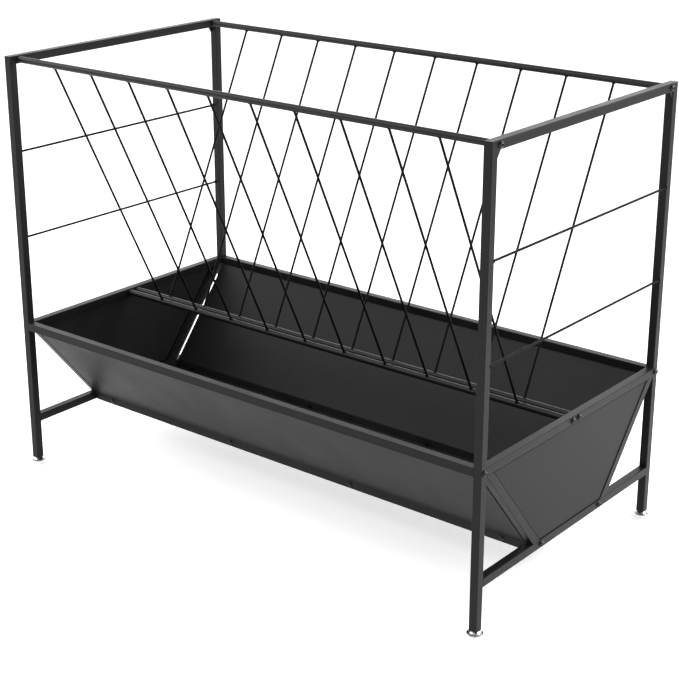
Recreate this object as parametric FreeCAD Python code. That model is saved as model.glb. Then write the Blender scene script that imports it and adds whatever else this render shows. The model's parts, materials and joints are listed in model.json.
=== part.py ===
import FreeCAD, Part
import math
import os

# Hay rack and trough feeder, in millimetres.
# X runs along the trough, Y across it with the front at -Y, and Z up.
# The origin is on the floor, under the middle of the feeder.

# ---- driving dimensions ----
LENGTH = 1540.0            # outside of the two end frames
DEPTH = 810.0              # outside of the front and back posts
HEIGHT = 1165.0            # floor to the top of the end frames
TUBE = 22.0                # square tube of the end frames and the rim
TUBE_WALL = 1.2
TUBE_CORNER = 1.6          # outside corner radius of the square tube
RACK_TUBE = 17.0           # round tube of the two rack panels
RACK_WALL = 1.0
WIRE = 6.0                 # diameter of the rack rods and end rods
RACK_RODS = 10             # rods in each rack panel
END_RODS = 2               # rods across each end frame
RIM_TOP = 420.0            # top of the trough's rim
SILL_TOP = 140.0           # top of the low rail of each end frame
TROUGH_HALF_BASE = 170.0   # middle of the trough to its upright bottom seam
SHEET = 1.2                # sheet of the trough
SHEET_END_GAP = 5.0        # slit between a slope sheet and the end frame
RACK_TOP_Y = 374.0         # middle to the axis of a top rack tube
RACK_FOOT_Y = 14.0         # middle to the axis of a bottom rack tube
POST_END_Z = 10.0          # floor to the sawn end of a post
GUSSET_ALONG = 14.0        # gusset leg on the top rail
GUSSET_DOWN = 20.0         # gusset leg on the post
GUSSET_THICK = 3.0
PANEL_DEPTH = 17.0         # flange depth of the pressed end panels
PANEL_EDGE = 3.0           # outside bend radius of their edges
PANEL_RECESS = 2.0         # end panel face behind the frame's outer face
PAN_EDGE_DROP = 2.0        # top of the pan's edges below the low rails' top

# ---- fasteners: screws in the frame are M8, screws in the trough's seams are M6 ----
FRAME_SCREW = 8.0
SEAM_SCREW = 6.0
HOLE_CLEARANCE = 0.4       # added to a screw's diameter for its hole
THREAD_CLEARANCE = 0.1     # added to a screw's diameter for its threaded bore
INSERT_LENGTH = 25.0
INSERT_GRIP = 20.0         # how far a screw reaches into an insert
INSERT_PLAY = 0.2          # insert narrower than the tube's inside
SEAM_SCREW_X = (-680.0, -210.0, 210.0, 680.0)
PAN_SCREW_Y = 135.0

# ---- screw and nut proportions, as shares of the thread's diameter ----
HEAD_RADIUS = 1.03
HEAD_HEIGHT = 0.75
HEAD_EDGE = 0.18           # upright edge under the dome
DOME_RADIUS = 0.84         # half-way up the dome
DOME_HEIGHT = 0.52         # of that half-way point
CROWN_RADIUS = 0.46        # flat top of the dome
SOCKET_RADIUS = 0.36       # to the corners of the hexagon socket
SOCKET_DEPTH = 0.45
NUT_RADIUS = 0.93          # to the corners of a nut
NUT_HEIGHT = 0.8
SEAM_SCREW_TAIL = 1.2      # length beyond the two sheets

# ---- levelling feet ----
FOOT_RADIUS = 20.0
FOOT_HEIGHT = 8.4
STUD_RADIUS = 4.0
STUD_TOP_Z = 36.0
STUD_COLLAR_RADIUS = 6.0
STUD_CHAMFER = 0.8
RUNNING_CLEARANCE = 0.05   # radial, round the stud
PLUG_TOP_Z = 30.0
PLUG_FLANGE = 1.5

# ---- positions worked out from them ----
HALF_L = LENGTH / 2
HALF_D = DEPTH / 2
POST_X = HALF_L - TUBE / 2
POST_Y = HALF_D - TUBE / 2
INNER_X = HALF_L - TUBE
INNER_Y = HALF_D - TUBE
RIM_BOTTOM = RIM_TOP - TUBE
RIM_MID = RIM_TOP - TUBE / 2
SILL_MID = SILL_TOP - TUBE / 2
SILL_BOTTOM = SILL_TOP - TUBE
RAIL_BOTTOM = HEIGHT - TUBE
RACK_TOP_Z = HEIGHT - TUBE / 2
RACK_FOOT_Z = RIM_MID
SLOPE_RUN = INNER_Y - TROUGH_HALF_BASE
SLOPE_RISE = RIM_BOTTOM - SILL_TOP
SLOPE_LENGTH = math.hypot(SLOPE_RUN, SLOPE_RISE)
SLOPE_ANGLE = math.degrees(math.atan2(SLOPE_RUN, SLOPE_RISE))   # from upright

ENDS = {"left": -1, "right": 1}
SIDES = {"front": -1, "back": 1}

X_AXIS = FreeCAD.Vector(1, 0, 0)
Y_AXIS = FreeCAD.Vector(0, 1, 0)
Z_AXIS = FreeCAD.Vector(0, 0, 1)


def box(x_span, y_span, z_span):
    """A block between two values on each axis, given in either order."""
    low = [min(span) for span in (x_span, y_span, z_span)]
    size = [abs(span[1] - span[0]) for span in (x_span, y_span, z_span)]
    return Part.makeBox(*size, FreeCAD.Vector(*low))


def rod(start, end, radius):
    """A round bar between two points."""
    first = FreeCAD.Vector(*start)
    run = FreeCAD.Vector(*end) - first
    return Part.makeCylinder(radius, run.Length, first, run)


def prism_along_x(outline_yz, x_span):
    """A straight prism along X on a closed outline of (y, z) points."""
    points = [FreeCAD.Vector(min(x_span), y, z) for y, z in outline_yz]
    face = Part.Face(Part.makePolygon(points + points[:1]))
    return face.extrude(X_AXIS * abs(x_span[1] - x_span[0]))


def rounded_square(side, radius):
    """A face in the XY plane, centred on the origin."""
    square = Part.makeBox(side, side, 1, FreeCAD.Vector(-side / 2, -side / 2, 0))
    upright = [edge for edge in square.Edges if abs(edge.tangentAt(0).z) > 0.5]
    rounded = square.makeFillet(radius, upright)
    return [face for face in rounded.Faces if face.CenterOfMass.z < 1e-6][0]


def square_tube(length):
    """A hollow square tube along +Z from the origin."""
    bore = TUBE - 2 * TUBE_WALL
    outside = rounded_square(TUBE, TUBE_CORNER).extrude(Z_AXIS * length)
    inside = rounded_square(bore, TUBE_CORNER - TUBE_WALL).extrude(Z_AXIS * length)
    return outside.cut(inside)


def tube_along_x(y, z, x_span):
    tube = square_tube(abs(x_span[1] - x_span[0]))
    tube.rotate(FreeCAD.Vector(0, 0, 0), Y_AXIS, 90)
    tube.translate(FreeCAD.Vector(min(x_span), y, z))
    return tube


def tube_along_y(x, z, y_span):
    tube = square_tube(abs(y_span[1] - y_span[0]))
    tube.rotate(FreeCAD.Vector(0, 0, 0), X_AXIS, -90)
    tube.translate(FreeCAD.Vector(x, min(y_span), z))
    return tube


def drill_x(shape, x, y, z, diameter):
    """Drills a hole along X, through the tube centred at x."""
    reach = TUBE
    return shape.cut(rod((x - reach, y, z), (x + reach, y, z), diameter / 2))


def revolve(outline_rz, x, y):
    """A turned piece on a closed outline of (radius, z) points, about an upright axis at x, y."""
    points = [FreeCAD.Vector(radius, 0, z) for radius, z in outline_rz]
    turned = Part.Face(Part.makePolygon(points + points[:1])).revolve(
        FreeCAD.Vector(0, 0, 0), Z_AXIS, 360)
    turned.translate(FreeCAD.Vector(x, y, 0))
    return turned


# ---- end frames ----

def mitre_block(x, side, above):
    """The space above or below the 45-degree joint between a post and its top rail."""
    high = (side * (HALF_D + TUBE), HEIGHT + TUBE)
    low = (side * (INNER_Y - TUBE), RAIL_BOTTOM - TUBE)
    corner = (low[0], high[1]) if above else (high[0], low[1])
    return prism_along_x([high, low, corner], (x - TUBE, x + TUBE))


def make_post(end, side):
    post = square_tube(HEIGHT - POST_END_Z)
    post.translate(FreeCAD.Vector(end * POST_X, side * POST_Y, POST_END_Z))
    post = post.cut(mitre_block(end * POST_X, side, above=True))
    return drill_x(post, end * POST_X, side * POST_Y, RIM_MID, FRAME_SCREW + HOLE_CLEARANCE)


def make_top_rail(end):
    rail = tube_along_y(end * POST_X, RACK_TOP_Z, (-HALF_D, HALF_D))
    for side in SIDES.values():
        rail = rail.cut(mitre_block(end * POST_X, side, above=False))
        rail = drill_x(rail, end * POST_X, side * RACK_TOP_Y, RACK_TOP_Z, FRAME_SCREW + HOLE_CLEARANCE)
    return rail


def make_cross_rail(end, z, hole_y):
    """A rail between the two posts of an end frame, with a pair of screw holes."""
    rail = tube_along_y(end * POST_X, z, (-INNER_Y, INNER_Y))
    for side in SIDES.values():
        rail = drill_x(rail, end * POST_X, side * hole_y, z, FRAME_SCREW + HOLE_CLEARANCE)
    return rail


def make_brace(end, side):
    """The sloping tube from the corner under the rim down to the low rail."""
    overrun = TUBE
    brace = square_tube(SLOPE_LENGTH + 2 * overrun)
    brace.translate(FreeCAD.Vector(0, -side * TUBE / 2, -overrun))
    brace.rotate(FreeCAD.Vector(0, 0, 0), X_AXIS, -side * SLOPE_ANGLE)
    brace.translate(FreeCAD.Vector(end * POST_X, side * TROUGH_HALF_BASE, SILL_TOP))
    between_rails = box((-LENGTH, LENGTH), (-DEPTH, DEPTH), (SILL_TOP, RIM_BOTTOM))
    return brace.common(between_rails)


def make_end_rods(end):
    """Level rods that divide the opening above the rim, flush with the frame's outer face."""
    x = end * (HALF_L - WIRE / 2)
    pitch = (RAIL_BOTTOM - RIM_TOP) / (END_RODS + 1)
    levels = [RIM_TOP + pitch * (row + 1) for row in range(END_RODS)]
    return Part.makeCompound([rod((x, -INNER_Y, z), (x, INNER_Y, z), WIRE / 2) for z in levels])


def make_gussets(end):
    """Two triangular plates in the top corners of an end frame."""
    x_outer = end * (HALF_L - PANEL_RECESS)
    plates = []
    for side in SIDES.values():
        corner = side * INNER_Y
        outline = [(corner, RAIL_BOTTOM), (corner - side * GUSSET_ALONG, RAIL_BOTTOM),
                   (corner, RAIL_BOTTOM - GUSSET_DOWN)]
        plates.append(prism_along_x(outline, (x_outer - end * GUSSET_THICK, x_outer)))
    return Part.makeCompound(plates)


def rounded_at(prism, x, radius):
    """Rounds the edges of a prism's face at x."""
    edges = [edge for edge in prism.Edges if all(abs(vertex.X - x) < 1e-6 for vertex in edge.Vertexes)]
    return prism.makeFillet(radius, edges)


def make_end_panel(end):
    """A pressed tray that fills the V between the braces, its flanges turned inwards."""
    half_base = TROUGH_HALF_BASE - TUBE / math.cos(math.radians(SLOPE_ANGLE))
    half_rim = half_base + SLOPE_RUN
    x_face = end * (HALF_L - PANEL_RECESS)
    x_back = x_face - end * PANEL_DEPTH
    outline = [(-half_base, SILL_TOP), (half_base, SILL_TOP),
               (half_rim, RIM_BOTTOM), (-half_rim, RIM_BOTTOM)]
    tray = rounded_at(prism_along_x(outline, (x_back, x_face)), x_face, PANEL_EDGE)
    inset = SHEET / math.cos(math.radians(SLOPE_ANGLE))
    slant = SHEET * SLOPE_RUN / SLOPE_RISE
    inner_base = half_base - inset + slant
    inner_rim = half_rim - inset - slant
    hollow = [(-inner_base, SILL_TOP + SHEET), (inner_base, SILL_TOP + SHEET),
              (inner_rim, RIM_BOTTOM - SHEET), (-inner_rim, RIM_BOTTOM - SHEET)]
    x_floor = x_face - end * SHEET
    inside = rounded_at(prism_along_x(hollow, (x_back - end, x_floor)), x_floor, PANEL_EDGE - SHEET)
    return tray.cut(inside)


# ---- trough ----

def make_rim_rail(side):
    return tube_along_x(side * POST_Y, RIM_MID, (-INNER_X, INNER_X))


def folded_sheet(outline_yz, x_span, thickness):
    """A sheet folded along X: the middle line of its section is the given open outline."""
    points = [FreeCAD.Vector(min(x_span), y, z) for y, z in outline_yz]
    strips = []
    for first, second in zip(points, points[1:]):
        run = (second - first).normalize()
        across = run.cross(X_AXIS) * (thickness / 2)
        corners = [first + across, second + across, second - across, first - across]
        strips.append(Part.Face(Part.makePolygon(corners + corners[:1])))
    for bend in points[1:-1]:
        strips.append(Part.Face(Part.Wire(Part.makeCircle(thickness / 2, bend, X_AXIS))))
    section = strips[0].multiFuse(strips[1:]).removeSplitter()
    return section.extrude(X_AXIS * abs(x_span[1] - x_span[0]))


def make_slope_sheet(side):
    """One sloping wall: a flange under the rim rail, the slope, and an upright seam flange."""
    half = SHEET / 2
    seam_y = TROUGH_HALF_BASE - half
    seam_z = SILL_TOP + half * math.tan(math.radians(SLOPE_ANGLE / 2))
    rim_z = RIM_BOTTOM - half
    rim_y = seam_y + (rim_z - seam_z) * SLOPE_RUN / SLOPE_RISE
    outline = [(side * POST_Y, rim_z), (side * rim_y, rim_z), (side * seam_y, seam_z),
               (side * seam_y, SILL_BOTTOM)]
    sheet_x = INNER_X - SHEET_END_GAP
    return drill_seam(folded_sheet(outline, (-sheet_x, sheet_x), SHEET), side)


def drill_seam(sheet, side):
    """Screw holes along the bottom seam."""
    radius = (SEAM_SCREW + HOLE_CLEARANCE) / 2
    inside = side * (TROUGH_HALF_BASE - TUBE)
    outside = side * (TROUGH_HALF_BASE + TUBE)
    for x in SEAM_SCREW_X:
        sheet = sheet.cut(rod((x, inside, SILL_MID), (x, outside, SILL_MID), radius))
    return sheet


def make_pan():
    """The shallow tray that joins the two slopes along the bottom, with four upturned edges."""
    half_width = TROUGH_HALF_BASE - SHEET
    edge_top = SILL_TOP - PAN_EDGE_DROP
    outside = box((-INNER_X, INNER_X), (-half_width, half_width), (SILL_BOTTOM, edge_top))
    inside = box((-INNER_X + SHEET, INNER_X - SHEET), (-half_width + SHEET, half_width - SHEET),
                 (SILL_BOTTOM + SHEET, edge_top + 1))
    pan = outside.cut(inside)
    for side in SIDES.values():
        pan = drill_seam(pan, side)
        for end in ENDS.values():
            pan = drill_x(pan, end * INNER_X, side * PAN_SCREW_Y, SILL_MID, FRAME_SCREW + HOLE_CLEARANCE)
    return pan


# ---- rack panels ----

def rack_tube(y, z):
    outside = rod((-INNER_X, y, z), (INNER_X, y, z), RACK_TUBE / 2)
    return outside.cut(rod((-INNER_X, y, z), (INNER_X, y, z), RACK_TUBE / 2 - RACK_WALL))


def make_rack_rods(side):
    """Evenly spaced rods, butted against the two round tubes of a rack panel."""
    top = (side * RACK_TOP_Y, RACK_TOP_Z)
    foot = (side * RACK_FOOT_Y, RACK_FOOT_Z)
    tubes = [rod((-INNER_X, y, z), (INNER_X, y, z), RACK_TUBE / 2) for y, z in (top, foot)]
    pitch = 2 * INNER_X / (RACK_RODS + 1)
    rods = []
    for column in range(RACK_RODS):
        x = -INNER_X + pitch * (column + 1)
        rods.append(rod((x, *top), (x, *foot), WIRE / 2).cut(tubes))
    return Part.makeCompound(rods)


# ---- fasteners ----

def button_screw(diameter, length, head_at, direction):
    """A dome-headed screw. head_at is under the head, and direction is the way its shank points."""
    head_radius = diameter * HEAD_RADIUS
    head_height = diameter * HEAD_HEIGHT
    edge_height = diameter * HEAD_EDGE
    crown_radius = diameter * CROWN_RADIUS
    dome = Part.Arc(FreeCAD.Vector(head_radius, 0, -edge_height),
                    FreeCAD.Vector(diameter * DOME_RADIUS, 0, -diameter * DOME_HEIGHT),
                    FreeCAD.Vector(crown_radius, 0, -head_height)).toShape()
    corners = [FreeCAD.Vector(crown_radius, 0, -head_height), FreeCAD.Vector(0, 0, -head_height),
               FreeCAD.Vector(0, 0, length), FreeCAD.Vector(diameter / 2, 0, length),
               FreeCAD.Vector(diameter / 2, 0, 0), FreeCAD.Vector(head_radius, 0, 0),
               FreeCAD.Vector(head_radius, 0, -edge_height)]
    outline = Part.Wire([dome] + Part.makePolygon(corners).Edges)
    screw = Part.Face(outline).revolve(FreeCAD.Vector(0, 0, 0), Z_AXIS, 360)
    screw = screw.cut(hexagon(diameter * SOCKET_RADIUS, diameter * SOCKET_DEPTH, -head_height))
    return aim(screw, head_at, direction)


def hexagon(radius, height, z):
    """A hexagonal prism standing on z, with the given corner radius."""
    corners = [FreeCAD.Vector(radius * math.cos(math.radians(60 * turn)),
                              radius * math.sin(math.radians(60 * turn)), z) for turn in range(6)]
    return Part.Face(Part.makePolygon(corners + corners[:1])).extrude(Z_AXIS * height)


def hex_nut(diameter, seat_at, direction):
    """A nut that stands on seat_at and reaches along direction."""
    height = diameter * NUT_HEIGHT
    nut = hexagon(diameter * NUT_RADIUS, height, 0)
    bore = Part.makeCylinder((diameter + THREAD_CLEARANCE) / 2, height)
    return aim(nut.cut(bore), seat_at, direction)


def aim(shape, place, direction):
    """Turns a piece from +Z to the direction, and moves it to its place."""
    turn = FreeCAD.Rotation(Z_AXIS, FreeCAD.Vector(*direction))
    shape.Placement = FreeCAD.Placement(FreeCAD.Vector(*place), turn)
    return shape


def frame_screws(positions_yz, length):
    """Screws that enter both end frames from outside at each (y, z)."""
    screws = []
    for end in ENDS.values():
        for y, z in positions_yz:
            screws.append(button_screw(FRAME_SCREW, length, (end * HALF_L, y, z), (-end, 0, 0)))
    return Part.makeCompound(screws)


def mirrored(y, z):
    return [(side * y, z) for side in SIDES.values()]


def make_pan_nuts():
    nuts = []
    for end in ENDS.values():
        for y, z in mirrored(PAN_SCREW_Y, SILL_MID):
            nuts.append(hex_nut(FRAME_SCREW, (end * (INNER_X - SHEET), y, z), (-end, 0, 0)))
    return Part.makeCompound(nuts)


def make_seam_screws():
    length = 2 * SHEET + SEAM_SCREW * SEAM_SCREW_TAIL
    return Part.makeCompound([
        button_screw(SEAM_SCREW, length, (x, side * TROUGH_HALF_BASE, SILL_MID), (0, -side, 0))
        for side in SIDES.values() for x in SEAM_SCREW_X])


def make_seam_nuts():
    return Part.makeCompound([
        hex_nut(SEAM_SCREW, (x, side * (TROUGH_HALF_BASE - 2 * SHEET), SILL_MID), (0, -side, 0))
        for side in SIDES.values() for x in SEAM_SCREW_X])


def make_round_inserts():
    """Threaded plugs in the ends of the four round rack tubes."""
    radius = RACK_TUBE / 2 - RACK_WALL - INSERT_PLAY / 2
    bore = (FRAME_SCREW + THREAD_CLEARANCE) / 2
    plugs = []
    for end in ENDS.values():
        for y, z in mirrored(RACK_TOP_Y, RACK_TOP_Z) + mirrored(RACK_FOOT_Y, RACK_FOOT_Z):
            start = (end * INNER_X, y, z)
            stop = (end * (INNER_X - INSERT_LENGTH), y, z)
            plugs.append(rod(start, stop, radius).cut(rod(start, stop, bore)))
    return Part.makeCompound(plugs)


def make_square_inserts():
    """Threaded plugs in the ends of the two rim rails."""
    half = TUBE / 2 - TUBE_WALL - INSERT_PLAY / 2
    bore = (FRAME_SCREW + THREAD_CLEARANCE) / 2
    plugs = []
    for end in ENDS.values():
        for y, z in mirrored(POST_Y, RIM_MID):
            x_span = (end * INNER_X, end * (INNER_X - INSERT_LENGTH))
            block = box(x_span, (y - half, y + half), (z - half, z + half))
            long_edges = [edge for edge in block.Edges if edge.Length > TUBE]
            block = block.makeFillet(TUBE_CORNER - TUBE_WALL, long_edges)
            plugs.append(block.cut(rod((x_span[0], y, z), (x_span[1], y, z), bore)))
    return Part.makeCompound(plugs)


# ---- levelling feet ----

def make_foot_plug(x, y):
    """The threaded plug in the end of a post, with a flange that covers the tube's wall."""
    core_side = TUBE - 2 * TUBE_WALL - INSERT_PLAY
    core = rounded_square(core_side, TUBE_CORNER - TUBE_WALL)
    core = core.extrude(Z_AXIS * (PLUG_TOP_Z - POST_END_Z))
    core.translate(FreeCAD.Vector(x, y, POST_END_Z))
    flange = rounded_square(TUBE, TUBE_CORNER).extrude(Z_AXIS * PLUG_FLANGE)
    flange.translate(FreeCAD.Vector(x, y, POST_END_Z - PLUG_FLANGE))
    bore = rod((x, y, 0), (x, y, PLUG_TOP_Z), STUD_RADIUS + RUNNING_CLEARANCE)
    return core.fuse(flange).removeSplitter().cut(bore)


def make_foot_pad(x, y):
    """The domed steel disc. Its socket holds the stud's collar, so the stud turns and the disc doesn't."""
    socket_floor = 1.6
    socket_roof = 5.2
    socket_radius = STUD_COLLAR_RADIUS + RUNNING_CLEARANCE
    neck_radius = STUD_RADIUS + RUNNING_CLEARANCE
    rim_height = 2.2
    rim_chamfer = 0.8
    shoulder_radius = 9.0
    crown = (16.1, 6.5)        # radius and height of the fullest point of the dome
    dome = Part.Arc(FreeCAD.Vector(FOOT_RADIUS, 0, rim_height),
                    FreeCAD.Vector(crown[0], 0, crown[1]),
                    FreeCAD.Vector(shoulder_radius, 0, FOOT_HEIGHT)).toShape()
    corners = [(shoulder_radius, FOOT_HEIGHT), (neck_radius, FOOT_HEIGHT), (neck_radius, socket_roof),
               (socket_radius, socket_roof), (socket_radius, socket_floor), (0, socket_floor), (0, 0),
               (FOOT_RADIUS - rim_chamfer, 0), (FOOT_RADIUS, rim_chamfer), (FOOT_RADIUS, rim_height)]
    straight = Part.makePolygon([FreeCAD.Vector(radius, 0, z) for radius, z in corners])
    pad = Part.Face(Part.Wire([dome] + straight.Edges)).revolve(FreeCAD.Vector(0, 0, 0), Z_AXIS, 360)
    pad.translate(FreeCAD.Vector(x, y, 0))
    return pad


def make_foot_stud(x, y):
    """The screw that turns in the plug, with the collar that the disc holds."""
    collar_low = 1.7
    collar_high = 5.1
    outline = [(0, collar_low), (STUD_COLLAR_RADIUS, collar_low), (STUD_COLLAR_RADIUS, collar_high),
               (STUD_RADIUS, collar_high), (STUD_RADIUS, STUD_TOP_Z - STUD_CHAMFER),
               (STUD_RADIUS - STUD_CHAMFER, STUD_TOP_Z), (0, STUD_TOP_Z)]
    return revolve(outline, x, y)


# ---- the whole feeder ----

def make_parts():
    parts = {}
    for end_name, end in ENDS.items():
        parts[end_name + "_top_rail"] = make_top_rail(end)
        parts[end_name + "_rim_rail"] = make_cross_rail(end, RIM_MID, RACK_FOOT_Y)
        parts[end_name + "_sill_rail"] = make_cross_rail(end, SILL_MID, PAN_SCREW_Y)
        parts[end_name + "_end_rods"] = make_end_rods(end)
        parts[end_name + "_corner_gussets"] = make_gussets(end)
        parts[end_name + "_end_panel"] = make_end_panel(end)
        for side_name, side in SIDES.items():
            place = side_name + "_" + end_name
            x = end * POST_X
            y = side * POST_Y
            parts[place + "_post"] = make_post(end, side)
            parts[place + "_brace"] = make_brace(end, side)
            parts[place + "_foot_plug"] = make_foot_plug(x, y)
            parts[place + "_foot_pad"] = make_foot_pad(x, y)
            parts[place + "_foot_stud"] = make_foot_stud(x, y)
    for side_name, side in SIDES.items():
        parts[side_name + "_rim_rail"] = make_rim_rail(side)
        parts[side_name + "_slope_sheet"] = make_slope_sheet(side)
        parts[side_name + "_rack_top_tube"] = rack_tube(side * RACK_TOP_Y, RACK_TOP_Z)
        parts[side_name + "_rack_foot_tube"] = rack_tube(side * RACK_FOOT_Y, RACK_FOOT_Z)
        parts[side_name + "_rack_rods"] = make_rack_rods(side)
    parts["bottom_pan"] = make_pan()
    tube_screw_length = TUBE + INSERT_GRIP
    parts["rack_top_screws"] = frame_screws(mirrored(RACK_TOP_Y, RACK_TOP_Z), tube_screw_length)
    parts["rack_foot_screws"] = frame_screws(mirrored(RACK_FOOT_Y, RACK_FOOT_Z), tube_screw_length)
    parts["rim_screws"] = frame_screws(mirrored(POST_Y, RIM_MID), tube_screw_length)
    pan_screw_length = TUBE + SHEET + FRAME_SCREW
    parts["pan_screws"] = frame_screws(mirrored(PAN_SCREW_Y, SILL_MID), pan_screw_length)
    parts["pan_nuts"] = make_pan_nuts()
    parts["seam_screws"] = make_seam_screws()
    parts["seam_nuts"] = make_seam_nuts()
    parts["rack_tube_inserts"] = make_round_inserts()
    parts["rim_rail_inserts"] = make_square_inserts()
    return parts


def main():
    os.makedirs("parts", exist_ok=True)
    for name, shape in make_parts().items():
        shape.exportStep(os.path.join("parts", name + ".step"))
        bounds = shape.BoundBox
        span = (bounds.XMin, bounds.XMax, bounds.YMin, bounds.YMax, bounds.ZMin, bounds.ZMax)
        print(name, len(shape.Solids), "solids, valid", shape.isValid(), ["%.1f" % value for value in span])


main()
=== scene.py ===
import math

import bmesh
import bpy
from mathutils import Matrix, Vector, noise
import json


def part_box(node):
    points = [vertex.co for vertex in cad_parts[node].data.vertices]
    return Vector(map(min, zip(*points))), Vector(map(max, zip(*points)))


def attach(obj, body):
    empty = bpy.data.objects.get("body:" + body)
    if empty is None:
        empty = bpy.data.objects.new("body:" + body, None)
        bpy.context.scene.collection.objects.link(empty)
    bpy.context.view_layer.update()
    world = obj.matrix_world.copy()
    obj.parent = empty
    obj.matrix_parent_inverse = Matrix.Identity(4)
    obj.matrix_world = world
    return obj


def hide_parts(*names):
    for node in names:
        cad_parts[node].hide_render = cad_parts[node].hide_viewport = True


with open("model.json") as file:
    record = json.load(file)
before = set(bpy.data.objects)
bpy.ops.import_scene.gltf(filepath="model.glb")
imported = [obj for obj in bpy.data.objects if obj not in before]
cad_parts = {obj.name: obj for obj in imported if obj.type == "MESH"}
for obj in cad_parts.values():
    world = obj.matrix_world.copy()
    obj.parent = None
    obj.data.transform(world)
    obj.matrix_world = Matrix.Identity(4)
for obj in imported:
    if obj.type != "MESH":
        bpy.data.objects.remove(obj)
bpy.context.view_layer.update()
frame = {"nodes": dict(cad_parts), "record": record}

MM = 0.001
nodes = frame["nodes"]
ENDS = {"left": -1, "right": 1}
SIDES = {"front": -1, "back": 1}


# ---- sizes in metres, read from the frame where it has them ----

post_low, post_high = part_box("front_right_post")
rim_low, rim_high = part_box("right_rim_rail")
sill_low, sill_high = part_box("right_sill_rail")
top_tube_low, top_tube_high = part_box("front_rack_top_tube")
foot_tube_low, foot_tube_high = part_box("front_rack_foot_tube")
end_rods_low, end_rods_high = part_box("right_end_rods")
sheet_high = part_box("front_slope_sheet")[1]

INNER_X = post_low.x                       # end frame's inner plane
OUTER_X = post_high.x                      # end frame's outer plane
INNER_Y = -post_high.y                     # middle of the feeder to a post's inner face
SHEET = 1.2 * MM                           # thickness of the trough's sheet
RACK_TUBE_RADIUS = (top_tube_high.z - top_tube_low.z) / 2
# (y, z) of the axes of the back panel's two tubes. The front panel's are at -y.
RACK_TOP = Vector(((top_tube_low.y + top_tube_high.y) / -2, (top_tube_low.z + top_tube_high.z) / 2))
RACK_FOOT = Vector(((foot_tube_low.y + foot_tube_high.y) / -2, (foot_tube_low.z + foot_tube_high.z) / 2))
ROD_RADIUS = (end_rods_high.x - end_rods_low.x) / 2
RACK_RODS = 10
RACK_ROD_PITCH = 2 * INNER_X / (RACK_RODS + 1)
joints = frame["record"]["behaviour"]["joints"]
FOOT_TRAVEL = max(joint["range_m"][1] for joint in joints if "range_m" in joint)


def mesh_object(name, mesh, material, body="frame"):
    """Links a finished mesh as a piece that rides on a CAD body."""
    piece = bpy.data.objects.new(name, mesh)
    bpy.context.scene.collection.objects.link(piece)
    mesh.materials.append(material)
    for polygon in mesh.polygons:
        polygon.use_smooth = True
    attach(piece, body)
    return piece


# ---- weld beads ----

BEAD_SIDES = 8
BEAD_LIFT = 0.25           # bead's middle out of the corner, as a share of its size

COLLAR_STEPS = 26          # sections round a rod
COLLAR_BEAD = 1.45 * MM
COLLAR_LUMP = 0.45         # share by which the bead's radius wanders
COLLAR_SPREAD = 0.35       # bead's middle outside the rod's skin, as a share of its radius
COLLAR_NOISE = 1.3         # how fast the radius wanders round the rod
COLLAR_SEED_STEP = 7.31

RIPPLE = 1.3 * MM          # length of one ripple of a fillet weld
SECTIONS_PER_RIPPLE = 4
FEWEST_SECTIONS = 8
TAPER_START = 0.25         # a fillet's size at its very ends, as a share
TAPER_RATE = 5             # and its growth from there, per length of its run
FILLET_BODY = 0.86         # the three shares of a fillet's radius
FILLET_RIPPLE = 0.14
FILLET_LUMP = 0.16
FILLET_NOISE = 180         # how fast the radius wanders, per metre
FILLET_SEED_STEP = 3.7


def bead_ring(bm, centre, across, out, radius):
    """One ring of a bead's skin, in the plane of the two directions."""
    ring = []
    for step in range(BEAD_SIDES):
        angle = math.tau * step / BEAD_SIDES
        ring.append(bm.verts.new(centre + (across * math.cos(angle) + out * math.sin(angle)) * radius))
    return ring


def join_rings(bm, first, second):
    count = len(first)
    for step in range(count):
        after = (step + 1) % count
        bm.faces.new((first[step], first[after], second[after], second[step]))


def rod_collar(bm, centre, axis, along_tube, tube_radius, seed):
    """A weld round a rod's end. With a tube radius, it follows the tube's round surface."""
    side = axis.cross(along_tube).normalized()
    rings = []
    for step in range(COLLAR_STEPS):
        angle = math.tau * step / COLLAR_STEPS
        outward = along_tube * math.cos(angle) + side * math.sin(angle)
        lump = noise.noise(Vector((math.cos(angle) * COLLAR_NOISE, math.sin(angle) * COLLAR_NOISE,
                                   seed * COLLAR_SEED_STEP)))
        bead_radius = COLLAR_BEAD * (1 + COLLAR_LUMP * lump)
        ring_radius = ROD_RADIUS + COLLAR_SPREAD * bead_radius
        height = 0.0
        if tube_radius:
            offset = ring_radius * math.sin(angle)
            height = math.sqrt(tube_radius ** 2 - offset ** 2)
        place = centre + outward * ring_radius + axis * (height + BEAD_LIFT * bead_radius)
        rings.append(bead_ring(bm, place, outward, axis, bead_radius))
    for step in range(COLLAR_STEPS):
        join_rings(bm, rings[step], rings[(step + 1) % COLLAR_STEPS])


def fillet_weld(bm, start, end, first_face, second_face, size, seed):
    """A rippled bead along an inside corner. The two face directions point out of the two surfaces."""
    run = end - start
    count = max(FEWEST_SECTIONS, int(run.length / (RIPPLE / SECTIONS_PER_RIPPLE)))
    out = (first_face + second_face).normalized()
    across = run.normalized().cross(out)
    rings = []
    for step in range(count + 1):
        share = step / count
        wave = abs(math.sin(math.pi * share * run.length / RIPPLE))
        lump = noise.noise(Vector((share * run.length * FILLET_NOISE, seed * FILLET_SEED_STEP, 0)))
        taper = min(1.0, TAPER_RATE * share + TAPER_START, TAPER_RATE * (1 - share) + TAPER_START)
        radius = size * taper * (FILLET_BODY + FILLET_RIPPLE * wave + FILLET_LUMP * lump)
        rings.append(bead_ring(bm, start + run * share + out * BEAD_LIFT * size, across, out, radius))
    for first, second in zip(rings, rings[1:]):
        join_rings(bm, first, second)
    bm.faces.new(rings[0][::-1])
    bm.faces.new(rings[-1])


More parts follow.
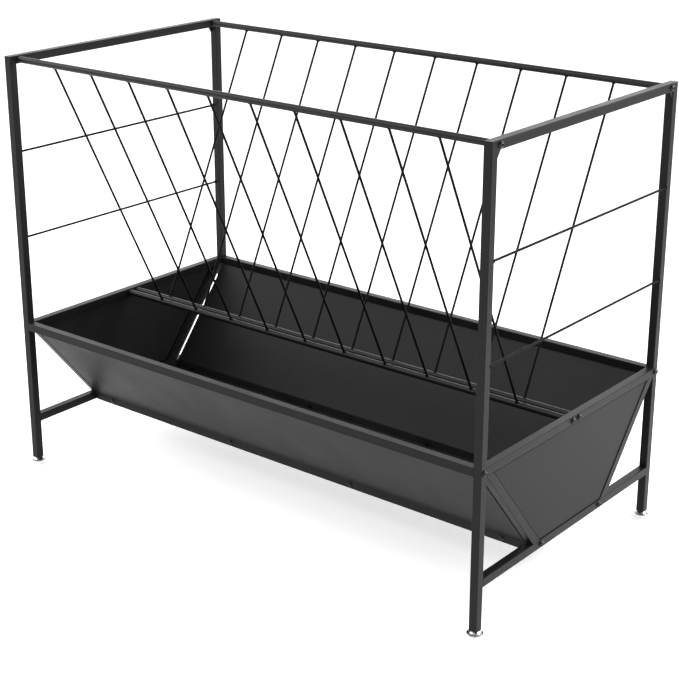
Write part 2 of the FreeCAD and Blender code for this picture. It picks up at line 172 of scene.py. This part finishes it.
def finished_mesh(bm, name):
    bmesh.ops.recalc_face_normals(bm, faces=bm.faces)
    mesh = bpy.data.meshes.new(name)
    bm.to_mesh(mesh)
    bm.free()
    return mesh


def rack_welds(side_name, side, material):
    """Welds at both ends of every rod in one rack panel."""
    top = Vector((0, side * RACK_TOP.x, RACK_TOP.y))
    foot = Vector((0, side * RACK_FOOT.x, RACK_FOOT.y))
    down = (foot - top).normalized()
    along = Vector((1, 0, 0))
    bm = bmesh.new()
    for column in range(RACK_RODS):
        x = -INNER_X + RACK_ROD_PITCH * (column + 1)
        seed = column + 40 * (side + 1)
        rod_collar(bm, top + along * x, down, along, RACK_TUBE_RADIUS, seed)
        rod_collar(bm, foot + along * x, -down, along, RACK_TUBE_RADIUS, seed + 20)
    name = side_name + "_rack_welds"
    mesh_object(name, finished_mesh(bm, name), material)


def end_rod_welds(end_name, end, material):
    """Welds at both ends of the level rods of one end frame."""
    bm = bmesh.new()
    x = end * (OUTER_X - ROD_RADIUS)
    for row, z in enumerate((end_rods_low.z + ROD_RADIUS, end_rods_high.z - ROD_RADIUS)):
        for side in SIDES.values():
            inward = Vector((0, -side, 0))
            centre = Vector((x, side * INNER_Y, z))
            rod_collar(bm, centre, inward, Vector((0, 0, 1)), 0, 100 + row * 7 + side * 3 + end)
    name = end_name + "_end_rod_welds"
    mesh_object(name, finished_mesh(bm, name), material)


def frame_welds(end_name, end, material):
    """Fillet welds in the inside corners of one end frame."""
    bm = bmesh.new()
    size = 1.9 * MM
    inset = 2.5 * MM           # from the ends of a bead to the tube's two faces
    foot_gap = 2 * MM          # from the pan's edge to the bead at a brace's foot
    near = end * (INNER_X + inset)
    far = end * (OUTER_X - inset)
    up = Vector((0, 0, 1))
    seam = -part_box("bottom_pan")[0].y
    for side in SIDES.values():
        inward = Vector((0, -side, 0))
        corner_y = side * INNER_Y
        corners = [(corner_y, rim_high.z, inward, up), (corner_y, sill_high.z, inward, up),
                   (corner_y, sill_low.z, inward, -up), (side * (seam + foot_gap), sill_high.z, -inward, up)]
        for number, (y, z, first_face, second_face) in enumerate(corners):
            start = Vector((near, y, z))
            finish = Vector((far, y, z))
            fillet_weld(bm, start, finish, first_face, second_face, size, number + 5 * side + 11 * end)
    name = end_name + "_frame_welds"
    mesh_object(name, finished_mesh(bm, name), material)


def painted_groove_shade(end_name, end, material):
    """A near-black bead in the groove between an end panel and the tubes round it, painted shade that stands
    for the groove's dark gap.
    """
    low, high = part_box(end_name + "_end_panel")
    bm = bmesh.new()
    radius = 2.1 * MM
    depth = 1.9 * MM           # bead's middle behind the panel's outer face
    inset = 1.3 * MM           # bead's middle inside the panel's top and bottom edges
    rim_share = 1.6            # how far the upper corners come in across the feeder, as a share of inset
    base_share = 0.5           # and the lower corners
    x = end * (max(abs(low.x), abs(high.x)) - depth)
    run = INNER_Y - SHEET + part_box("bottom_pan")[0].y
    rim = high.y - rim_share * inset
    base = high.y - run - base_share * inset
    corners = [Vector((x, -base, low.z + inset)), Vector((x, base, low.z + inset)),
               Vector((x, rim, rim_low.z - inset)), Vector((x, -rim, rim_low.z - inset))]
    out = Vector((end, 0, 0))
    for start, finish in zip(corners, corners[1:] + corners[:1]):
        across = (finish - start).normalized().cross(out)
        rings = [bead_ring(bm, place, across, out, radius) for place in (start, finish)]
        join_rings(bm, *rings)
        bm.faces.new(rings[0][::-1])
        bm.faces.new(rings[1])
    name = end_name + "_painted_groove_shade"
    mesh_object(name, finished_mesh(bm, name), material)


def rim_stitches(side_name, side, material):
    """Short welds that hold a slope sheet's flange to the inner lower edge of its rim rail."""
    bm = bmesh.new()
    count = 5
    length = 24 * MM
    size = 2.1 * MM
    reach = sheet_high.x - 90 * MM
    inside_rail = 0.6 * MM     # bead's middle from the rail's inner face
    below_rail = 0.8 * MM      # and from its underside
    rail_face = Vector((0, -side, 0))
    sheet_face = Vector((0, -0.4 * side, 0.9))
    for stitch in range(count):
        middle = -reach + 2 * reach * stitch / (count - 1)
        place = Vector((middle, side * (INNER_Y - inside_rail), rim_low.z - below_rail))
        half = Vector((length / 2, 0, 0))
        fillet_weld(bm, place - half, place + half, rail_face, sheet_face, size, stitch + 30 * side)
    name = side_name + "_rim_stitches"
    mesh_object(name, finished_mesh(bm, name), material)


# ---- threaded studs of the levelling feet ----

def stud_thread(place, material):
    """The stud with a real thread, on the same axis and inside the same radius as the CAD stud."""
    low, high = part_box(place + "_foot_stud")
    axis_x = (low.x + high.x) / 2
    axis_y = (low.y + high.y) / 2
    collar_radius = (high.x - low.x) / 2
    crest_radius = 4.0 * MM
    root_radius = 3.35 * MM
    collar_top = 5.1 * MM
    collar_edge = 0.4 * MM
    pitch = 1.25 * MM
    chamfer = 0.8 * MM
    crest_flat = 1.25          # above 1, the crest is cut flat
    row_gap = 0.01 * MM        # keeps the rows apart where the thread runs out at the collar
    around = 28
    rows_per_turn = 6
    bm = bmesh.new()

    def ring(radius_at, height_at):
        verts = []
        for step in range(around):
            angle = math.tau * step / around
            radius = radius_at(angle)
            verts.append(bm.verts.new((axis_x + radius * math.cos(angle), axis_y + radius * math.sin(angle),
                                       height_at(angle))))
        return verts

    def flat(radius, z):
        return ring(lambda angle: radius, lambda angle: z)

    def thread_radius(row, z):
        phase = (row % rows_per_turn) / rows_per_turn
        flank = 1 - abs(2 * phase - 1)
        radius = root_radius + (crest_radius - root_radius) * min(1.0, crest_flat * flank)
        return min(radius, crest_radius - max(0.0, z - (high.z - chamfer)))

    row_height = pitch / rows_per_turn
    rows = int((high.z - collar_top) / row_height) + rows_per_turn + 1

    def thread_height(row, angle):
        z = collar_top + (row - rows_per_turn) * row_height + pitch * angle / math.tau
        return min(max(z, collar_top + row_gap * row / rows), high.z)

    rings = [flat(collar_radius - collar_edge, low.z), flat(collar_radius, low.z + collar_edge),
             flat(collar_radius, collar_top), flat(root_radius, collar_top)]
    for row in range(rows):
        rings.append(ring(lambda angle: thread_radius(row, thread_height(row, angle)),
                          lambda angle: thread_height(row, angle)))
    for first, second in zip(rings, rings[1:]):
        join_rings(bm, first, second)
    bm.faces.new(rings[0][::-1])
    bm.faces.new(rings[-1])
    name = place + "_threaded_stud"
    piece = mesh_object(name, finished_mesh(bm, name), material, place + "_foot_stud")
    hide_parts(place + "_foot_stud")


# ---- discs of the levelling feet ----

def turned_loop(outline, axis_x, axis_y, around=72):
    """A turned solid on a closed outline of (radius, height) points. Points on the axis are shared."""
    bm = bmesh.new()
    rings = []
    for radius, z in outline:
        if radius == 0:
            rings.append([bm.verts.new((axis_x, axis_y, z))])
            continue
        turns = [math.tau * step / around for step in range(around)]
        rings.append([bm.verts.new((axis_x + radius * math.cos(turn), axis_y + radius * math.sin(turn), z))
                      for turn in turns])
    for first, second in zip(rings, rings[1:] + rings[:1]):
        if len(first) > 1 and len(second) > 1:
            join_rings(bm, first, second)
        elif len(first) != len(second):
            fan = first if len(first) > 1 else second
            tip = first[0] if len(first) == 1 else second[0]
            for step in range(around):
                bm.faces.new((tip, fan[step], fan[(step + 1) % around]))
    return bm


def foot_disc(place, shell_material, sole_material):
    """A pressed, plated shell with a rolled lip, on a black moulded sole."""
    low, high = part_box(place + "_foot_pad")
    axis_x = (low.x + high.x) / 2
    axis_y = (low.y + high.y) / 2
    radius = (high.x - low.x) / 2
    top = high.z
    stud_gap = 0.1 * MM
    sole_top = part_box(place + "_foot_stud")[0].z - stud_gap
    neck = 4.1 * MM            # radius of the hole for the stud
    neck_floor = top - 3.2 * MM
    shoulder = 0.43 * radius   # where the level top turns down
    lip = 0.7 * MM             # radius of the rolled edge
    lip_centre = (radius - lip, sole_top + lip)
    skirt_radius = radius - 2.2 * lip
    skirt_drop = top - sole_top - 2.6 * lip
    skirt_steps = 12
    skirt_fullness = 1.6
    lip_steps = 6
    lip_first = 110            # degrees
    lip_turn = 200
    outline = [(neck, neck_floor), (neck, top), (shoulder, top)]
    for step in range(1, skirt_steps + 1):
        share = step / skirt_steps
        bulge = 1 - (1 - share) ** skirt_fullness
        outline.append((shoulder + (skirt_radius - shoulder) * share,
                        top - skirt_drop * (1 - math.cos(bulge * math.pi / 2))))
    for step in range(lip_steps + 1):
        angle = math.radians(lip_first - lip_turn * step / lip_steps)
        outline.append((lip_centre[0] + lip * math.cos(angle), lip_centre[1] + lip * math.sin(angle)))
    outline += [(radius - 2 * lip, sole_top), (1.5 * neck, sole_top), (1.5 * neck, neck_floor)]
    name = place + "_foot_shell"
    shell = mesh_object(name, finished_mesh(turned_loop(outline, axis_x, axis_y), name), shell_material,
                        place + "_foot_pad")
    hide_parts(place + "_foot_pad")
    edge = radius - 0.05 * MM
    sole_chamfer = 0.5 * MM
    outline = [(0, 0), (edge - sole_chamfer, 0), (edge, sole_chamfer), (edge, sole_top), (0, sole_top)]
    name = place + "_foot_sole"
    mesh_object(name, finished_mesh(turned_loop(outline, axis_x, axis_y), name), sole_material,
                place + "_foot_pad")


# ---- materials ----

def new_material(name):
    material = bpy.data.materials.new(name)
    material.use_nodes = True
    tree = material.node_tree
    shader = tree.nodes["Principled BSDF"]
    return material, tree, shader


def object_noise(tree, scale, detail=3.0, roughness=0.55, stretch=(1, 1, 1)):
    """Noise in metres of the object's own frame, so it stays on the piece at every pose."""
    coordinates = tree.nodes.new("ShaderNodeTexCoord")
    mapping = tree.nodes.new("ShaderNodeMapping")
    mapping.inputs["Scale"].default_value = stretch
    texture = tree.nodes.new("ShaderNodeTexNoise")
    texture.inputs["Scale"].default_value = scale
    texture.inputs["Detail"].default_value = detail
    texture.inputs["Roughness"].default_value = roughness
    tree.links.new(coordinates.outputs["Object"], mapping.inputs["Vector"])
    tree.links.new(mapping.outputs["Vector"], texture.inputs["Vector"])
    return texture.outputs["Fac"]


def ramp(tree, value, low, high, low_color, high_color):
    """Maps a value between two positions to a grey or colour between two others."""
    node = tree.nodes.new("ShaderNodeValToRGB")
    node.color_ramp.elements[0].position = low
    node.color_ramp.elements[0].color = (*low_color, 1)
    node.color_ramp.elements[1].position = high
    node.color_ramp.elements[1].color = (*high_color, 1)
    tree.links.new(value, node.inputs["Fac"])
    return node.outputs["Color"]


def map_range(tree, value, low, high, to_low, to_high):
    node = tree.nodes.new("ShaderNodeMapRange")
    node.inputs["From Min"].default_value = low
    node.inputs["From Max"].default_value = high
    node.inputs["To Min"].default_value = to_low
    node.inputs["To Max"].default_value = to_high
    tree.links.new(value, node.inputs["Value"])
    return node.outputs["Result"]


def bump(tree, height, strength, distance, base=None):
    node = tree.nodes.new("ShaderNodeBump")
    node.inputs["Strength"].default_value = strength
    node.inputs["Distance"].default_value = distance
    tree.links.new(height, node.inputs["Height"])
    if base is not None:
        tree.links.new(base, node.inputs["Normal"])
    return node.outputs["Normal"]


def powder_coat(name, shade, roughness, gloss, ripple=0.0):
    """Matt black powder coat: orange peel, fine sparkle and a faint cloudiness. ripple adds slow waves."""
    material, tree, shader = new_material(name)
    cloud = object_noise(tree, 7.0, detail=4.0)
    grain = object_noise(tree, 1500.0, detail=1.0)
    dark = tuple(0.86 * channel for channel in shade)
    light = tuple(1.14 * channel for channel in shade)
    cloudy = ramp(tree, cloud, 0.35, 0.65, dark, light)
    speck = ramp(tree, grain, 0.62, 0.74, (0, 0, 0), (1, 1, 1))
    speckled = tree.nodes.new("ShaderNodeMix")
    speckled.data_type = "RGBA"
    speckled.blend_type = "ADD"
    speckled.inputs["B"].default_value = (0.008, 0.008, 0.008, 1)
    tree.links.new(speck, speckled.inputs["Factor"])
    tree.links.new(cloudy, speckled.inputs["A"])
    tree.links.new(speckled.outputs["Result"], shader.inputs["Base Color"])
    rough = map_range(tree, cloud, 0.3, 0.7, roughness - 0.04, roughness + 0.05)
    tree.links.new(rough, shader.inputs["Roughness"])
    shader.inputs["Specular IOR Level"].default_value = gloss
    peel = object_noise(tree, 620.0, detail=2.0)
    normal = bump(tree, peel, 0.35, 0.12 * MM)
    if ripple:
        wave = object_noise(tree, 3.2, detail=0.0, stretch=(0.7, 1, 1))
        normal = bump(tree, wave, 0.5, ripple, normal)
    tree.links.new(normal, shader.inputs["Normal"])
    return material


def black_oxide(name):
    """Oiled black oxide on the screws, with stains that are lighter and rougher."""
    material, tree, shader = new_material(name)
    stain = object_noise(tree, 260.0, detail=4.0)
    color = ramp(tree, stain, 0.35, 0.7, (0.003, 0.003, 0.003), (0.008, 0.008, 0.008))
    tree.links.new(color, shader.inputs["Base Color"])
    tree.links.new(map_range(tree, stain, 0.3, 0.7, 0.22, 0.36), shader.inputs["Roughness"])
    shader.inputs["Specular IOR Level"].default_value = 0.3
    tree.links.new(bump(tree, stain, 0.25, 0.05 * MM), shader.inputs["Normal"])
    return material


def plated(name, color, roughness):
    """Bright plate with turning marks and slight staining."""
    material, tree, shader = new_material(name)
    stain = object_noise(tree, 120.0, detail=5.0)
    fine = object_noise(tree, 900.0, detail=2.0, stretch=(1, 1, 14))
    darker = tuple(0.84 * channel for channel in color)
    tree.links.new(ramp(tree, stain, 0.3, 0.68, darker, color), shader.inputs["Base Color"])
    rough = map_range(tree, stain, 0.3, 0.7, roughness - 0.03, roughness + 0.09)
    tree.links.new(rough, shader.inputs["Roughness"])
    shader.inputs["Metallic"].default_value = 1.0
    tree.links.new(bump(tree, fine, 0.12, 0.03 * MM), shader.inputs["Normal"])
    return material


def moulded_nylon(name):
    """Black moulded plastic with a fine mottle."""
    material, tree, shader = new_material(name)
    mottle = object_noise(tree, 340.0, detail=3.0)
    tree.links.new(ramp(tree, mottle, 0.35, 0.7, (0.006, 0.006, 0.006), (0.012, 0.012, 0.0125)),
                   shader.inputs["Base Color"])
    tree.links.new(map_range(tree, mottle, 0.3, 0.7, 0.44, 0.58), shader.inputs["Roughness"])
    tree.links.new(bump(tree, mottle, 0.3, 0.06 * MM), shader.inputs["Normal"])
    return material


MATERIALS = {
    "frame_coat": powder_coat("frame powder coat", (0.0065, 0.0065, 0.007), 0.42, 0.12),
    "rack_tube_coat": powder_coat("rack tube powder coat", (0.0065, 0.0065, 0.007), 0.36, 0.16),
    "rod_coat": powder_coat("rod powder coat", (0.0025, 0.0025, 0.0026), 0.45, 0.04),
    "sheet_coat": powder_coat("sheet powder coat", (0.0135, 0.0135, 0.014), 0.46, 0.08, ripple=0.8 * MM),
    "black_screw": black_oxide("black oxide screws"),
    "zinc_insert": plated("zinc plate", (0.56, 0.56, 0.58), 0.32),
    "nickel_plate": plated("nickel plate", (0.50, 0.50, 0.48), 0.16),
    "black_nylon": moulded_nylon("black nylon"),
}
# Near-black, rough coat of the groove bead round the end panels: painted shade for the groove's dark gap.
GROOVE_SHADE_PAINT = powder_coat("painted groove shade", (0.0015, 0.0015, 0.0015), 0.62, 0.02)


def dress_cad_nodes():
    """Gives every CAD node the material of its slot in the record."""
    for subpart in frame["record"]["subparts"]:
        mesh = nodes[subpart["node"]].data
        for index in range(len(mesh.materials)):
            mesh.materials[index] = MATERIALS[subpart["material_slot"]]


# ---- floor, light and camera ----

def make_floor():
    """A wide pale floor, as low as the feet reach when they are screwed right out, with a faint mottle."""
    size = 60.0
    mesh = bpy.data.meshes.new("floor")
    level = -FOOT_TRAVEL
    corners = [(-size, -size, level), (size, -size, level), (size, size, level), (-size, size, level)]
    mesh.from_pydata(corners, [], [(0, 1, 2, 3)])
    floor = bpy.data.objects.new("floor", mesh)
    bpy.context.scene.collection.objects.link(floor)
    material, tree, shader = new_material("pale floor")
    mottle = object_noise(tree, 1.3, detail=3.0)
    color = ramp(tree, mottle, 0.3, 0.7, (0.86, 0.86, 0.86), (0.89, 0.89, 0.89))
    tree.links.new(color, shader.inputs["Base Color"])
    shader.inputs["Roughness"].default_value = 0.9
    shader.inputs["Specular IOR Level"].default_value = 0.1
    shader.inputs["Emission Color"].default_value = (1, 1, 1, 1)
    shader.inputs["Emission Strength"].default_value = 0.43
    mesh.materials.append(material)


def area_light(name, place, target, size, power):
    data = bpy.data.lights.new(name, "AREA")
    data.shape = "DISK"
    data.size = size
    data.energy = power
    light = bpy.data.objects.new(name, data)
    bpy.context.scene.collection.objects.link(light)
    light.location = place
    light.rotation_mode = "QUATERNION"
    light.rotation_quaternion = (Vector(target) - Vector(place)).to_track_quat("-Z", "Y")


def make_light():
    """Four softboxes, and a sky that is brighter behind the feeder and fades upwards."""
    world = bpy.data.worlds.new("studio")
    bpy.context.scene.world = world
    world.use_nodes = True
    tree = world.node_tree
    background = tree.nodes["Background"]
    background.inputs["Color"].default_value = (1, 1, 1, 1)
    direction = tree.nodes.new("ShaderNodeTexCoord")
    axes = tree.nodes.new("ShaderNodeSeparateXYZ")
    tree.links.new(direction.outputs["Generated"], axes.inputs["Vector"])
    from_behind = map_range(tree, axes.outputs["Y"], -1.0, 0.6, 0.40, 2.9)
    near_horizon = map_range(tree, axes.outputs["Z"], 0.36, 0.56, 1.0, 0.35)
    strength = tree.nodes.new("ShaderNodeMath")
    strength.operation = "MULTIPLY"
    tree.links.new(from_behind, strength.inputs[0])
    tree.links.new(near_horizon, strength.inputs[1])
    tree.links.new(strength.outputs["Value"], background.inputs["Strength"])
    middle = (0, 0, 0.4)
    area_light("front left softbox", (-3.6, -2.8, 4.3), middle, size=5.0, power=230)
    area_light("front softbox", (0.3, -3.4, 4.6), middle, size=3.2, power=90)
    area_light("left softbox", (-4.6, -0.6, 1.6), middle, size=2.6, power=50)
    area_light("right softbox", (1.9, 0.9, 1.7), (1.7, 0.8, 0), size=1.1, power=50)


def make_camera():
    """A viewpoint in front of the feeder, to its right, and above the rack."""
    data = bpy.data.cameras.new("camera")
    camera = bpy.data.objects.new("camera", data)
    bpy.context.scene.collection.objects.link(camera)
    place = Vector((2.524, -3.075, 1.927))
    target = Vector((0.038, 0.0, 0.505))
    camera.location = place
    camera.rotation_mode = "QUATERNION"
    camera.rotation_quaternion = (target - place).to_track_quat("-Z", "Y")
    data.lens = 83.8
    data.shift_y = -0.03
    bpy.context.scene.camera = camera


def build():
    dress_cad_nodes()
    for side_name, side in SIDES.items():
        rack_welds(side_name, side, MATERIALS["rod_coat"])
        rim_stitches(side_name, side, MATERIALS["frame_coat"])
        for end_name in ENDS:
            place = side_name + "_" + end_name
            stud_thread(place, MATERIALS["nickel_plate"])
            foot_disc(place, MATERIALS["nickel_plate"], MATERIALS["black_nylon"])
    for end_name, end in ENDS.items():
        end_rod_welds(end_name, end, MATERIALS["rod_coat"])
        frame_welds(end_name, end, MATERIALS["frame_coat"])
        # the near-black bead round each end panel is painted shade in the groove
        painted_groove_shade(end_name, end, GROOVE_SHADE_PAINT)
    make_floor()
    make_light()
    make_camera()
    bpy.context.scene.view_settings.view_transform = "Standard"


build()
